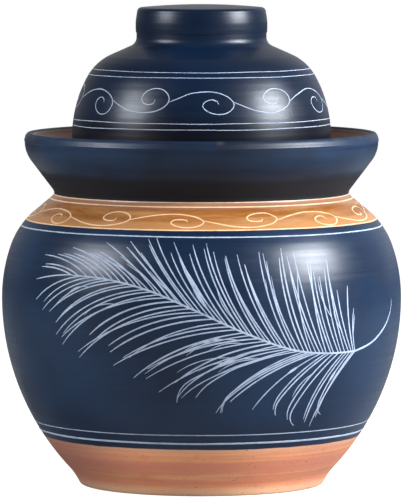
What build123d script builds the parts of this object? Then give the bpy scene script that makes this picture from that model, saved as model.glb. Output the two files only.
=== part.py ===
"""Water-seal stoneware crock fermenter, 250 mm across the belly and 300 mm tall.

Almost every piece is thrown on a wheel, so it is a revolved profile, drawn on Plane.XZ with x as the
radius and y as the height above the table. Millimetres, +Z up, origin at the middle of the foot.

    jar_body        the vessel, from the foot to the mouth that stands up inside the moat
    moat_flange     flared wall of the water moat, luted onto the ledge of the shoulder
    lid_dome        bowl-shaped outer lid, whose rim stands in the water of the moat
    lid_knob        hollow, flat-topped grip luted onto the crown of the dome
    inner_lid       disc that closes the mouth under the dome, with a ring that centres it
    inner_lid_knob  small turned knob luted onto the disc
    weight_left     half-round weight that presses the vegetables under their brine
    weight_right    the other half of the pair
"""

from build123d import *
import os
from math import asin, cos, degrees, radians, sin, tan

os.makedirs("parts", exist_ok=True)

# ---- driving dimensions: vessel ----
BELLY_RADIUS = 125.0
BELLY_HEIGHT = 117.0
BODY_WALL = 7.5
LOWER_ARC = 156.0  # radius of the long curve from the foot to the belly
UPPER_ARC = 98.0  # radius of the curve just above the belly
UPPER_TURN = 19.5  # degrees that it turns the wall inward
SHOULDER_ARC = 49.0
SHOULDER_TURN = 50.0  # slope of the wall where the shoulder ends, in degrees from upright
WAIST_RADIUS = 92.2
WAIST_COVE = 2.0

FOOT_RADIUS = 77.0
FOOT_BEVEL = 1.6
FOOT_HEIGHT = 8.0
FOOT_RING_WIDTH = 18.0
FOOT_RECESS = 3.0
FLOOR_HEIGHT = 11.0
FLOOR_FILLET = 8.0

MOUTH_RADIUS = 57.0
MOUTH_HEIGHT = 224.0
NECK_WALL = 7.0
NECK_FILLET = 3.0
LIP_FLAT = 0.8  # flat left on the rim of the mouth
THROAT_TURN = 75.0
THROAT_FILLET = 5.0

# ---- driving dimensions: water moat ----
MOAT_FLOOR = 189.0
MOAT_FILLET = 4.5
LEDGE_RADIUS = 84.0
FLANGE_COVE = 4.0
FLARE_TURN = 37.0  # degrees that the flange leans outward
FLARE_LENGTH = 22.5
BRIM_ARC = 20.0
FLANGE_WALL = 7.5
BEAD_RADIUS = 2.9
BEAD_SET = (-2.6, 2.5)  # middle of the rolled bead, from the top of the brim
CREASE_TURN = -40.0

# ---- driving dimensions: outer lid ----
LID_RADIUS = 81.0
LID_WALL = 5.5
LID_RIM_EDGE = LID_WALL / 3
LID_HOLLOW_FILLET = LID_WALL / 2
LID_STRAIGHT_TOP = 217.0
LID_SIDE_ARC = 80.0
LID_SIDE_TURN = 28.0
LID_CROWN_ARC = 32.0
LID_CROWN_TURN = 66.0
COLLAR_RADIUS = 40.6
COLLAR_COVE = 6.0
GRIP_SEAT = 282.6
GRIP_FOOT_RADIUS = 41.0
GRIP_RADIUS = 41.5
GRIP_SWELL_HEIGHT = 289.4  # where the grip is widest
GRIP_TOP_RADIUS = 40.2
GRIP_SHOULDER = 298.2
GRIP_EDGE = 2.6
LID_HEIGHT = 300.0

# ---- driving dimensions: inner lid and weights ----
DISC_RADIUS = 62.5
DISC_THICKNESS = 6.0
DISC_TOP_EDGE = 2.4
DISC_LOW_EDGE = 1.5
LOCATOR_RADIUS = 55.0
LOCATOR_WALL = 6.0
LOCATOR_DEPTH = 8.0
LOCATOR_EDGE = 2.0
KNOB_FOOT_RADIUS = 12.5
KNOB_STEM_RADIUS = 9.0
KNOB_STEM_HEIGHT = 5.4
KNOB_HEAD_RADIUS = 14.5
KNOB_HEAD_HEIGHT = 13.5
KNOB_CROWN_RADIUS = 10.15  # highest ring of the dished head
KNOB_HEIGHT = 18.0
KNOB_DISH = 2.0

WEIGHT_RADIUS = 68.0
WEIGHT_THICKNESS = 18.0
WEIGHT_GAP = 2.0
WEIGHT_NOTCH = 13.0
WEIGHT_CORNER = 4.0
WEIGHT_EDGE = 2.5

REST_GAP = 0.2  # play under each loose piece


def on_circle(centre, radius, angle):
    """Point of a circle, at an angle in degrees up from the outward horizontal."""
    return (centre[0] + radius * cos(radians(angle)), centre[1] + radius * sin(radians(angle)))


def arc_angle(centre, radius, height):
    """Angle in degrees at which the outer side of a circle passes a height."""
    return degrees(asin((height - centre[1]) / radius))


def ring_edges(piece, radius, height):
    """Circular edges of a revolved piece, at one radius and one height."""
    circles = piece.edges().filter_by(GeomType.CIRCLE)
    return circles.filter_by(
        lambda edge: abs(edge.radius - radius) < 0.1 and abs(edge.arc_center.Z - height) < 0.1
    )


# ---- jar_body: outer wall in three tangent arcs, then a cove that turns up into the waist ----
lower_centre = (BELLY_RADIUS - LOWER_ARC, BELLY_HEIGHT)
upper_centre = (BELLY_RADIUS - UPPER_ARC, BELLY_HEIGHT)
upper_end = on_circle(upper_centre, UPPER_ARC, UPPER_TURN)
shoulder_centre = on_circle(upper_end, -SHOULDER_ARC, UPPER_TURN)
shoulder_end = on_circle(shoulder_centre, SHOULDER_ARC, SHOULDER_TURN)
cove_start_radius = WAIST_RADIUS + WAIST_COVE * (1 - cos(radians(SHOULDER_TURN)))
slope_rise = (shoulder_end[0] - cove_start_radius) / tan(radians(SHOULDER_TURN))
cove_start = (cove_start_radius, shoulder_end[1] + slope_rise)
waist_height = cove_start[1] + WAIST_COVE * sin(radians(SHOULDER_TURN))

# Inner wall: the same arcs, one wall thickness in, up to a sloping throat under the mouth.
neck_radius = MOUTH_RADIUS + NECK_WALL
throat_start = on_circle(shoulder_centre, SHOULDER_ARC - BODY_WALL, THROAT_TURN)
throat_rise = (throat_start[0] - MOUTH_RADIUS) / tan(radians(THROAT_TURN))
throat_end = (MOUTH_RADIUS, throat_start[1] + throat_rise)
foot_angle = arc_angle(lower_centre, LOWER_ARC, FOOT_HEIGHT)
floor_angle = arc_angle(lower_centre, LOWER_ARC - BODY_WALL, FLOOR_HEIGHT)
floor_corner = on_circle(lower_centre, LOWER_ARC - BODY_WALL, floor_angle)
foot_ring_radius = FOOT_RADIUS - FOOT_RING_WIDTH

with BuildPart() as jar_body:
    with BuildSketch(Plane.XZ):
        with BuildLine():
            Polyline(
                (0, FLOOR_HEIGHT),
                (0, FOOT_RECESS),
                (foot_ring_radius - FOOT_RECESS, FOOT_RECESS),
                (foot_ring_radius, 0),
                (FOOT_RADIUS - FOOT_BEVEL, 0),
                (FOOT_RADIUS, FOOT_BEVEL),
                on_circle(lower_centre, LOWER_ARC, foot_angle),
            )
            CenterArc(lower_centre, LOWER_ARC, foot_angle, -foot_angle)
            CenterArc(upper_centre, UPPER_ARC, 0, UPPER_TURN)
            CenterArc(shoulder_centre, SHOULDER_ARC, UPPER_TURN, SHOULDER_TURN - UPPER_TURN)
            Line(shoulder_end, cove_start)
            CenterArc((WAIST_RADIUS + WAIST_COVE, waist_height), WAIST_COVE, 180, SHOULDER_TURN)
            Polyline(
                (WAIST_RADIUS, waist_height),
                (LEDGE_RADIUS, waist_height),
                (LEDGE_RADIUS, MOAT_FLOOR),
                (neck_radius, MOAT_FLOOR),
                (neck_radius, MOUTH_HEIGHT),
                (MOUTH_RADIUS, MOUTH_HEIGHT),
                throat_end,
                throat_start,
            )
            CenterArc(
                shoulder_centre, SHOULDER_ARC - BODY_WALL, UPPER_TURN, THROAT_TURN - UPPER_TURN
            )
            CenterArc(upper_centre, UPPER_ARC - BODY_WALL, 0, UPPER_TURN)
            CenterArc(lower_centre, LOWER_ARC - BODY_WALL, floor_angle, -floor_angle)
            Line(floor_corner, (0, FLOOR_HEIGHT))
        make_face()
    revolve(axis=Axis.Z)
    lip_edges = ring_edges(jar_body, neck_radius, MOUTH_HEIGHT)
    lip_edges += ring_edges(jar_body, MOUTH_RADIUS, MOUTH_HEIGHT)
    fillet(lip_edges, (NECK_WALL - LIP_FLAT) / 2)
    fillet(ring_edges(jar_body, neck_radius, MOAT_FLOOR), NECK_FILLET)
    fillet(ring_edges(jar_body, MOUTH_RADIUS, throat_end[1]), THROAT_FILLET)
    fillet(ring_edges(jar_body, floor_corner[0], FLOOR_HEIGHT), FLOOR_FILLET)

jar_body.part.label = "jar_body"
export_step(jar_body.part, "parts/jar_body.step")

# ---- moat_flange: stands on the ledge, flares out and ends in a rolled bead above a crease ----
flange_cove_centre = (WAIST_RADIUS + FLANGE_COVE, waist_height)
flare_start = on_circle(flange_cove_centre, FLANGE_COVE, 180 - FLARE_TURN)
flare_end = on_circle(flare_start, FLARE_LENGTH, 90 - FLARE_TURN)
brim_centre = on_circle(flare_end, -BRIM_ARC, -FLARE_TURN)
bead_centre = (brim_centre[0] + BRIM_ARC + BEAD_SET[0], brim_centre[1] + BEAD_SET[1])
flare_at_floor = flare_start[0] + (MOAT_FLOOR - flare_start[1]) * tan(radians(FLARE_TURN))
inner_foot_radius = flare_at_floor - FLANGE_WALL / cos(radians(FLARE_TURN))

with BuildPart() as moat_flange:
    with BuildSketch(Plane.XZ):
        with BuildLine():
            CenterArc(flange_cove_centre, FLANGE_COVE, 180 - FLARE_TURN, FLARE_TURN)
            Line(flare_start, flare_end)
            CenterArc(brim_centre, BRIM_ARC, -FLARE_TURN, FLARE_TURN)
            Line(
                (brim_centre[0] + BRIM_ARC, brim_centre[1]),
                on_circle(bead_centre, BEAD_RADIUS, CREASE_TURN),
            )
            CenterArc(bead_centre, BEAD_RADIUS, CREASE_TURN, 180 - CREASE_TURN)
            Polyline(
                (bead_centre[0] - BEAD_RADIUS, bead_centre[1]),
                (inner_foot_radius, MOAT_FLOOR),
                (LEDGE_RADIUS, MOAT_FLOOR),
                (LEDGE_RADIUS, waist_height),
                (WAIST_RADIUS, waist_height),
            )
        make_face()
    revolve(axis=Axis.Z)
    fillet(ring_edges(moat_flange, inner_foot_radius, MOAT_FLOOR), MOAT_FILLET)

moat_flange.part.label = "moat_flange"
export_step(moat_flange.part, "parts/moat_flange.step")

# ---- lid_dome: one wall thickness all over, open at the collar where the grip goes on ----
rim_height = MOAT_FLOOR + REST_GAP
side_centre = (LID_RADIUS - LID_SIDE_ARC, LID_STRAIGHT_TOP)
side_end = on_circle(side_centre, LID_SIDE_ARC, LID_SIDE_TURN)
crown_centre = on_circle(side_end, -LID_CROWN_ARC, LID_SIDE_TURN)
crown_end = on_circle(crown_centre, LID_CROWN_ARC, LID_CROWN_TURN)
collar_start_radius = COLLAR_RADIUS + COLLAR_COVE * (1 - cos(radians(LID_CROWN_TURN)))
collar_rise = (crown_end[0] - collar_start_radius) / tan(radians(LID_CROWN_TURN))
collar_start = (collar_start_radius, crown_end[1] + collar_rise)
collar_height = collar_start[1] + COLLAR_COVE * sin(radians(LID_CROWN_TURN))
collar_inside = COLLAR_RADIUS - LID_WALL
inner_crown_end = on_circle(crown_centre, LID_CROWN_ARC - LID_WALL, LID_CROWN_TURN)
inner_collar_rise = (inner_crown_end[0] - collar_inside) / tan(radians(LID_CROWN_TURN))
inner_collar_height = inner_crown_end[1] + inner_collar_rise

with BuildPart() as lid_dome:
    with BuildSketch(Plane.XZ):
        with BuildLine():
            Polyline(
                (LID_RADIUS - LID_WALL, LID_STRAIGHT_TOP),
                (LID_RADIUS - LID_WALL, rim_height),
                (LID_RADIUS, rim_height),
                (LID_RADIUS, LID_STRAIGHT_TOP),
            )
            CenterArc(side_centre, LID_SIDE_ARC, 0, LID_SIDE_TURN)
            CenterArc(crown_centre, LID_CROWN_ARC, LID_SIDE_TURN, LID_CROWN_TURN - LID_SIDE_TURN)
            Line(crown_end, collar_start)
            CenterArc(
                (COLLAR_RADIUS + COLLAR_COVE, collar_height), COLLAR_COVE, 180, LID_CROWN_TURN
            )
            Polyline(
                (COLLAR_RADIUS, collar_height),
                (COLLAR_RADIUS, GRIP_SEAT),
                (collar_inside, GRIP_SEAT),
                (collar_inside, inner_collar_height),
                inner_crown_end,
            )
            CenterArc(
                crown_centre,
                LID_CROWN_ARC - LID_WALL,
                LID_SIDE_TURN,
                LID_CROWN_TURN - LID_SIDE_TURN,
            )
            CenterArc(side_centre, LID_SIDE_ARC - LID_WALL, 0, LID_SIDE_TURN)
        make_face()
    revolve(axis=Axis.Z)
    rim_edges = ring_edges(lid_dome, LID_RADIUS, rim_height)
    rim_edges += ring_edges(lid_dome, LID_RADIUS - LID_WALL, rim_height)
    fillet(rim_edges, LID_RIM_EDGE)
    fillet(ring_edges(lid_dome, collar_inside, inner_collar_height), LID_HOLLOW_FILLET)

lid_dome.part.label = "lid_dome"
export_step(lid_dome.part, "parts/lid_dome.step")

# ---- lid_knob: a shallow cup turned upside down, open below so that no air is sealed in it ----
grip_crown_arc = GRIP_TOP_RADIUS**2 / (2 * (LID_HEIGHT - GRIP_SHOULDER))

with BuildPart() as lid_knob:
    with BuildSketch(Plane.XZ):
        with BuildLine():
            Line((collar_inside, GRIP_SEAT), (GRIP_FOOT_RADIUS, GRIP_SEAT))
            ThreePointArc(
                (GRIP_FOOT_RADIUS, GRIP_SEAT),
                (GRIP_RADIUS, GRIP_SWELL_HEIGHT),
                (GRIP_TOP_RADIUS, GRIP_SHOULDER),
            )
            RadiusArc((0, LID_HEIGHT), (GRIP_TOP_RADIUS, GRIP_SHOULDER), grip_crown_arc)
            Polyline(
                (0, LID_HEIGHT),
                (0, LID_HEIGHT - LID_WALL),
                (collar_inside, GRIP_SHOULDER - LID_WALL),
                (collar_inside, GRIP_SEAT),
            )
        make_face()
    revolve(axis=Axis.Z)
    fillet(ring_edges(lid_knob, GRIP_TOP_RADIUS, GRIP_SHOULDER), GRIP_EDGE)
    fillet(ring_edges(lid_knob, collar_inside, GRIP_SHOULDER - LID_WALL), LID_HOLLOW_FILLET)

lid_knob.part.label = "lid_knob"
export_step(lid_knob.part, "parts/lid_knob.step")

# ---- inner_lid: rests on the rim of the mouth, with its ring hanging inside the neck ----
disc_bottom = MOUTH_HEIGHT + REST_GAP
disc_top = disc_bottom + DISC_THICKNESS
locator_bottom = disc_bottom - LOCATOR_DEPTH
locator_inside = LOCATOR_RADIUS - LOCATOR_WALL

with BuildPart() as inner_lid:
    with BuildSketch(Plane.XY.offset(disc_bottom)):
        Circle(DISC_RADIUS)
    extrude(amount=DISC_THICKNESS)
    with BuildSketch(Plane.XY.offset(disc_bottom)):
        Circle(LOCATOR_RADIUS)
        Circle(locator_inside, mode=Mode.SUBTRACT)
    extrude(amount=-LOCATOR_DEPTH)
    fillet(ring_edges(inner_lid, DISC_RADIUS, disc_top), DISC_TOP_EDGE)
    fillet(ring_edges(inner_lid, DISC_RADIUS, disc_bottom), DISC_LOW_EDGE)
    ring_foot = ring_edges(inner_lid, LOCATOR_RADIUS, locator_bottom)
    ring_foot += ring_edges(inner_lid, locator_inside, locator_bottom)
    fillet(ring_foot, LOCATOR_EDGE)

inner_lid.part.label = "inner_lid"
export_step(inner_lid.part, "parts/inner_lid.step")

# ---- inner_lid_knob: flared foot, waisted stem and a dished head for finger and thumb ----
knob_top = disc_top + KNOB_HEIGHT

with BuildPart() as inner_lid_knob:
    with BuildSketch(Plane.XZ):
        with BuildLine():
            Line((0, disc_top), (KNOB_FOOT_RADIUS, disc_top))
            Spline(
                (KNOB_FOOT_RADIUS, disc_top),
                (KNOB_STEM_RADIUS, disc_top + KNOB_STEM_HEIGHT),
                (KNOB_HEAD_RADIUS, disc_top + KNOB_HEAD_HEIGHT),
                tangents=((-1, 1), (0, 1)),
            )
            Spline(
                (KNOB_HEAD_RADIUS, disc_top + KNOB_HEAD_HEIGHT),
                (KNOB_CROWN_RADIUS, knob_top),
                (0, knob_top - KNOB_DISH),
                tangents=((0, 1), (-1, 0)),
            )
            Line((0, knob_top - KNOB_DISH), (0, disc_top))
        make_face()
    revolve(axis=Axis.Z)

inner_lid_knob.part.label = "inner_lid_knob"
export_step(inner_lid_knob.part, "parts/inner_lid_knob.step")

# ---- weights: half discs that pass the mouth on edge, with a finger hole between the pair ----
with BuildPart() as weight_right:
    with BuildSketch(Plane.XY.offset(FLOOR_HEIGHT + REST_GAP)) as half_disc:
        Circle(WEIGHT_RADIUS)
        Circle(WEIGHT_NOTCH, mode=Mode.SUBTRACT)
        with Locations((WEIGHT_GAP / 2, 0)):
            Rectangle(
                2 * WEIGHT_RADIUS,
                2 * WEIGHT_RADIUS,
                align=(Align.MAX, Align.CENTER),
                mode=Mode.SUBTRACT,
            )
        fillet(half_disc.vertices(), WEIGHT_CORNER)
    extrude(amount=WEIGHT_THICKNESS)
    fillet(weight_right.faces().filter_by(Axis.Z).edges(), WEIGHT_EDGE)

weight_right.part.label = "weight_right"
export_step(weight_right.part, "parts/weight_right.step")

with BuildPart() as weight_left:
    mirror(weight_right.part, about=Plane.YZ)

weight_left.part.label = "weight_left"
export_step(weight_left.part, "parts/weight_left.step")
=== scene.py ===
import bisect
import math
import random

import bmesh
import bpy
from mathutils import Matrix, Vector


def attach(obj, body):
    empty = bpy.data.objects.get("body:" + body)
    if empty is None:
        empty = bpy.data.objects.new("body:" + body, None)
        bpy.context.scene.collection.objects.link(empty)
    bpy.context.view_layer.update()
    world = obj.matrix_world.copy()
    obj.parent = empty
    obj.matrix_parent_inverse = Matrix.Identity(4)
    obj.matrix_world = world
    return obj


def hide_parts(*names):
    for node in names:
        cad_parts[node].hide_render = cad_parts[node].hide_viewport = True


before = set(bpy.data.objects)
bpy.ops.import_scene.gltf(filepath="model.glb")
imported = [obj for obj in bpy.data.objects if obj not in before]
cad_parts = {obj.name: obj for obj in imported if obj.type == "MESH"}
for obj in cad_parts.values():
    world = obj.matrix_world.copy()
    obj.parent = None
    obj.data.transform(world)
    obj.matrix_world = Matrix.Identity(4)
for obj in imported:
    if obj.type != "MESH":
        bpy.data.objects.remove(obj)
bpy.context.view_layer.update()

# ======== Vessel ========
# A stoneware jar thrown on the wheel in one piece, from the foot to the mouth that stands up inside
# the water moat. Its outside is brushed with blue slip and burnished, the shoulder carries a honey
# glaze, the lowest part is bare clay, and the inside is glazed brown.
BELLY_RADIUS = 0.125
BELLY_HEIGHT = 0.117
BODY_WALL = 0.0075
LOWER_ARC = 0.156
UPPER_ARC = 0.098
UPPER_TURN = 19.5
SHOULDER_ARC = 0.049
SHOULDER_TURN = 50.0
WAIST_RADIUS = 0.0922
WAIST_COVE = 0.0020
FOOT_RADIUS = 0.077
FOOT_HEIGHT = 0.008
FOOT_RECESS = 0.003
FOOT_RING_INSIDE = 0.059
FOOT_SLOPE = 0.004
FOOT_EDGE = 0.0012
FLOOR_HEIGHT = 0.011
MOAT_FLOOR = 0.189
LEDGE_RADIUS = 0.084
NECK_RADIUS = 0.064
MOUTH_RADIUS = 0.057
MOUTH_HEIGHT = 0.224
THROAT_TURN = 75.0
MOUTH_LIP = 0.0035
MOAT_COVE = 0.003
FINGER_RINGS_OUTSIDE = 0.00003
FINGER_RINGS_INSIDE = 0.00025
SEGMENTS = 240
SHARP_TURN = math.radians(38)


def on_circle(centre, radius, angle):
    """Point of a profile on a circle, at an angle in degrees up from the outward horizontal."""
    return (
        centre[0] + radius * math.cos(math.radians(angle)),
        centre[1] + radius * math.sin(math.radians(angle)),
    )


def arc(centre, radius, first, last, step=0.001):
    """Profile points along an arc, about one step apart."""
    count = max(3, round(abs(radius * math.radians(last - first)) / step))
    return [on_circle(centre, radius, first + (last - first) * i / count) for i in range(count + 1)]


def line(start, end, step=0.001):
    """Profile points along a straight wall."""
    count = max(1, round(math.dist(start, end) / step))
    return [
        (start[0] + (end[0] - start[0]) * i / count, start[1] + (end[1] - start[1]) * i / count)
        for i in range(count + 1)
    ]


def join(*stretches):
    """One profile out of several, without the points that they share."""
    profile = []
    for point in (point for stretch in stretches for point in stretch):
        if not profile or math.dist(profile[-1], point) > 1e-6:
            profile.append(point)
    return profile


def softened(profile, corner, radius, steps=6):
    """The profile with the corner nearest a point rounded off."""
    near = [p for p in profile if math.dist(p, corner) < radius]
    first, last = profile.index(near[0]), profile.index(near[-1])
    start, end = profile[first], profile[last]
    curve = []
    for i in range(steps + 1):
        t = i / steps
        curve.append(
            tuple(
                (1 - t) ** 2 * a + 2 * t * (1 - t) * b + t * t * c
                for a, b, c in zip(start, corner, end)
            )
        )
    return profile[:first] + curve + profile[last + 1 :]


def thrown(profile, depth, seed, waves=((0.0065, 1.0), (0.0041, 0.7), (0.0023, 0.45))):
    """The profile with the faint rings that fingers and ribs leave on a turning wall."""
    rng = random.Random(seed)
    tuned = [
        (length * rng.uniform(0.9, 1.1), share, rng.uniform(0, 6.28)) for length, share in waves
    ]
    ringed = []
    run = 0.0
    for i, (radius, height) in enumerate(profile):
        before = profile[max(0, i - 1)]
        after = profile[min(len(profile) - 1, i + 1)]
        run += math.dist(before, (radius, height))
        along = Vector((after[0] - before[0], after[1] - before[1])).normalized()
        ring = depth * sum(s * math.sin(run * 6.2832 / l + p) for l, s, p in tuned) / len(tuned)
        fade = min(1.0, i / 6, (len(profile) - 1 - i) / 6)
        ringed.append((radius + along.y * ring * fade, height - along.x * ring * fade))
    return ringed


def turned(profile, segments=SEGMENTS):
    """A bmesh of the profile spun once round the axis of the wheel."""
    bm = bmesh.new()
    points = [bm.verts.new((radius, 0, height)) for radius, height in profile]
    edges = [bm.edges.new(pair) for pair in zip(points, points[1:])]
    bmesh.ops.spin(
        bm,
        geom=points + edges,
        cent=(0, 0, 0),
        axis=(0, 0, 1),
        angle=math.tau,
        steps=segments,
        use_merge=True,
    )
    bmesh.ops.remove_doubles(bm, verts=bm.verts, dist=1e-6)
    bmesh.ops.recalc_face_normals(bm, faces=bm.faces)
    return bm


def set_down(bm, name, body, materials, replaces=()):
    """Turns a bmesh into a finished piece that rides on a body."""
    mesh = bpy.data.meshes.new(name)
    bm.to_mesh(mesh)
    bm.free()
    piece = bpy.data.objects.new(name, mesh)
    bpy.context.collection.objects.link(piece)
    for material in materials:
        mesh.materials.append(material)
    mesh.shade_smooth()
    mesh.set_sharp_from_angle(angle=SHARP_TURN)
    if replaces:
        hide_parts(*replaces)
    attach(piece, body)
    return piece


lower_centre = (BELLY_RADIUS - LOWER_ARC, BELLY_HEIGHT)
upper_centre = (BELLY_RADIUS - UPPER_ARC, BELLY_HEIGHT)
upper_end = on_circle(upper_centre, UPPER_ARC, UPPER_TURN)
shoulder_centre = on_circle(upper_end, -SHOULDER_ARC, UPPER_TURN)
shoulder_end = on_circle(shoulder_centre, SHOULDER_ARC, SHOULDER_TURN)
slope_end_radius = WAIST_RADIUS + WAIST_COVE * (1 - math.cos(math.radians(SHOULDER_TURN)))
slope_rise = (shoulder_end[0] - slope_end_radius) / math.tan(math.radians(SHOULDER_TURN))
slope_end = (slope_end_radius, shoulder_end[1] + slope_rise)
waist_height = slope_end[1] + WAIST_COVE * math.sin(math.radians(SHOULDER_TURN))
foot_angle = math.degrees(math.asin((FOOT_HEIGHT - BELLY_HEIGHT) / LOWER_ARC))
floor_angle = math.degrees(math.asin((FLOOR_HEIGHT - BELLY_HEIGHT) / (LOWER_ARC - BODY_WALL)))
throat_start = on_circle(shoulder_centre, SHOULDER_ARC - BODY_WALL, THROAT_TURN)
throat_rise = (throat_start[0] - MOUTH_RADIUS) / math.tan(math.radians(THROAT_TURN))
throat_end = (MOUTH_RADIUS, throat_start[1] + throat_rise)
floor_corner = on_circle(lower_centre, LOWER_ARC - BODY_WALL, floor_angle)

foot_wall = line(
    (FOOT_RADIUS - FOOT_EDGE / 4, FOOT_EDGE), on_circle(lower_centre, LOWER_ARC, foot_angle)
)
outer_wall = join(
    foot_wall,
    arc(lower_centre, LOWER_ARC, foot_angle, 0),
    arc(upper_centre, UPPER_ARC, 0, UPPER_TURN),
    arc(shoulder_centre, SHOULDER_ARC, UPPER_TURN, SHOULDER_TURN),
    line(shoulder_end, slope_end),
    arc((WAIST_RADIUS + WAIST_COVE, waist_height), WAIST_COVE, 180 + SHOULDER_TURN, 180, 0.0006),
)
outer_wall = softened(outer_wall, foot_wall[-1], 0.004)
outer_wall = thrown(outer_wall, FINGER_RINGS_OUTSIDE, 3)

foot = join(
    line((0, FOOT_RECESS), (FOOT_RING_INSIDE - FOOT_SLOPE, FOOT_RECESS), 0.008),
    line((FOOT_RING_INSIDE - FOOT_SLOPE, FOOT_RECESS), (FOOT_RING_INSIDE, 0.0003), 0.001),
    line((FOOT_RING_INSIDE + 0.0004, 0), (FOOT_RADIUS - 0.0016, 0), 0.003),
    line((FOOT_RADIUS - 0.0009, 0.0004), outer_wall[0], 0.0004),
)
lip_centre = ((MOUTH_RADIUS + NECK_RADIUS) / 2, MOUTH_HEIGHT - MOUTH_LIP)
moat_and_neck = join(
    line((WAIST_RADIUS, waist_height), (LEDGE_RADIUS, waist_height), 0.003),
    line((LEDGE_RADIUS, waist_height), (LEDGE_RADIUS, MOAT_FLOOR), 0.003),
    line((LEDGE_RADIUS, MOAT_FLOOR), (NECK_RADIUS + MOAT_COVE, MOAT_FLOOR), 0.002),
    arc((NECK_RADIUS + MOAT_COVE, MOAT_FLOOR + MOAT_COVE), MOAT_COVE, 270, 180),
    line((NECK_RADIUS, MOAT_FLOOR + MOAT_COVE), (NECK_RADIUS, lip_centre[1]), 0.003),
    arc(lip_centre, MOUTH_LIP, 0, 180, 0.0006),
)
inner_wall = join(
    line((MOUTH_RADIUS, lip_centre[1]), throat_end, 0.0015),
    line(throat_end, throat_start, 0.002),
    arc(shoulder_centre, SHOULDER_ARC - BODY_WALL, THROAT_TURN, UPPER_TURN, 0.0027),
    arc(upper_centre, UPPER_ARC - BODY_WALL, UPPER_TURN, 0, 0.0027),
    arc(lower_centre, LOWER_ARC - BODY_WALL, 0, floor_angle, 0.0027),
    line(floor_corner, (0, FLOOR_HEIGHT), 0.004),
)
inner_wall = softened(inner_wall, throat_end, 0.005)
inner_wall = softened(inner_wall, floor_corner, 0.007)
inner_wall = thrown(inner_wall, FINGER_RINGS_INSIDE, 5, ((0.011, 1.0), (0.0085, 0.6)))


def add(tree, kind, inputs=None, output=0, **settings):
    """Adds a shader node, links or sets its inputs, and returns one of its outputs."""
    made = tree.nodes.new("ShaderNode" + kind)
    for key, value in settings.items():
        setattr(made, key, value)
    for socket, value in (inputs or {}).items():
        if isinstance(value, bpy.types.NodeSocket):
            tree.links.new(value, made.inputs[socket])
        else:
            made.inputs[socket].default_value = value
    return made.outputs[output]


def maths(tree, operation, *values, clamp=False):
    """A Math node on numbers or sockets."""
    return add(tree, "Math", dict(enumerate(values)), operation=operation, use_clamp=clamp)


def between(tree, value, low, high, to_low=0.0, to_high=1.0):
    """A value's place between two limits, eased at both ends."""
    return add(
        tree,
        "MapRange",
        {"Value": value, "From Min": low, "From Max": high, "To Min": to_low, "To Max": to_high},
        interpolation_type="SMOOTHSTEP",
    )


def blended(tree, share, one, other):
    """One colour turning into another as the share goes from 0 to 1."""
    return add(
        tree, "Mix", {0: share, 6: one, 7: other}, output=2, data_type="RGBA", blend_type="MIX"
    )


def grain(tree, place, scale, stretch=(1, 1, 1), detail=4.0, roughness=0.55, seed=0.0):
    """Noise from 0 to 1, whose grains may be stretched along the axes."""
    spot = add(tree, "Mapping", {"Vector": place, "Scale": stretch, "Location": (seed, seed, seed)})
    return add(
        tree,
        "TexNoise",
        {"Vector": spot, "Scale": scale, "Detail": detail, "Roughness": roughness},
    )


def new_material(name):
    """An empty node material with its principled shader and the piece's own coordinates."""
    material = bpy.data.materials.new(name)
    material.use_nodes = True
    tree = material.node_tree
    shader = tree.nodes["Principled BSDF"]
    place = add(tree, "TexCoord", output=3)
    height = add(tree, "SeparateXYZ", {0: place}, output=2)
    return material, tree, shader, place, height


def rough_skin(tree, shader, height, depth, strength=1.0):
    """Feeds a height pattern into the shader's normal, depth in metres."""
    bump = add(tree, "Bump", {"Height": height, "Distance": depth, "Strength": strength})
    tree.links.new(bump, shader.inputs["Normal"])


def slip_colour(tree, place, deep, pale, seed):
    """Brushed, burnished slip: slow clouds, brush streaks round the pot, small dark specks."""
    clouds = grain(tree, place, 14, seed=seed, detail=3)
    streaks = grain(tree, place, 1, (6, 6, 520), seed=seed, detail=6, roughness=0.7)
    share = maths(tree, "MULTIPLY_ADD", clouds, 0.85, maths(tree, "MULTIPLY", streaks, 0.30))
    colour = blended(tree, between(tree, share, 0.36, 0.80), deep, pale)
    specks = grain(tree, place, 520, seed=seed, detail=1)
    return blended(tree, between(tree, specks, 0.73, 0.80), colour, SLIP_SPECK)


def burnish(tree, place, seed, low=0.28, high=0.38):
    """Roughness and relief of a burnished skin: fine lines round the pot left by the polishing."""
    lines = grain(tree, place, 1, (5, 5, 760), seed=seed, detail=5, roughness=0.75)
    patches = grain(tree, place, 60, seed=seed + 4, detail=4)
    worn = maths(tree, "MULTIPLY_ADD", patches, 0.4, lines)
    rough = between(tree, worn, 0.45, 0.95, low, high)
    orange_peel = grain(tree, place, 240, seed=seed + 9, detail=2)
    relief = maths(tree, "MULTIPLY_ADD", lines, 0.75, maths(tree, "MULTIPLY", orange_peel, 0.25))
    return rough, relief


SLIP_DEEP = (0.0024, 0.0105, 0.0300, 1)
SLIP_PALE = (0.0062, 0.0240, 0.0600, 1)
SLIP_DARK = (0.0013, 0.0050, 0.0140, 1)
SLIP_SPECK = (0.004, 0.005, 0.008, 1)
SLIP_SHINE = 0.34
CLAY = (0.95, 0.410, 0.175, 1)
CLAY_FLUSHED = (0.74, 0.255, 0.145, 1)
CLAY_PALE = (0.86, 0.520, 0.300, 1)
CLAY_PAINTED_SHADE = (0.26, 0.110, 0.088, 1)
CLAY_GRIT = (0.09, 0.035, 0.02, 1)
HONEY_GRIT = (0.08, 0.03, 0.012, 1)
HONEY = (0.21, 0.066, 0.008, 1)
HONEY_THIN = (0.41, 0.190, 0.070, 1)
HONEY_THICK_WITH_PAINTED_HIGHLIGHT = (0.28, 0.140, 0.100, 1)
SLIP_BOTTOM = 0.0313
SLIP_TOP = 0.1660
SKIN_RELIEF = 0.000045

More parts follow.
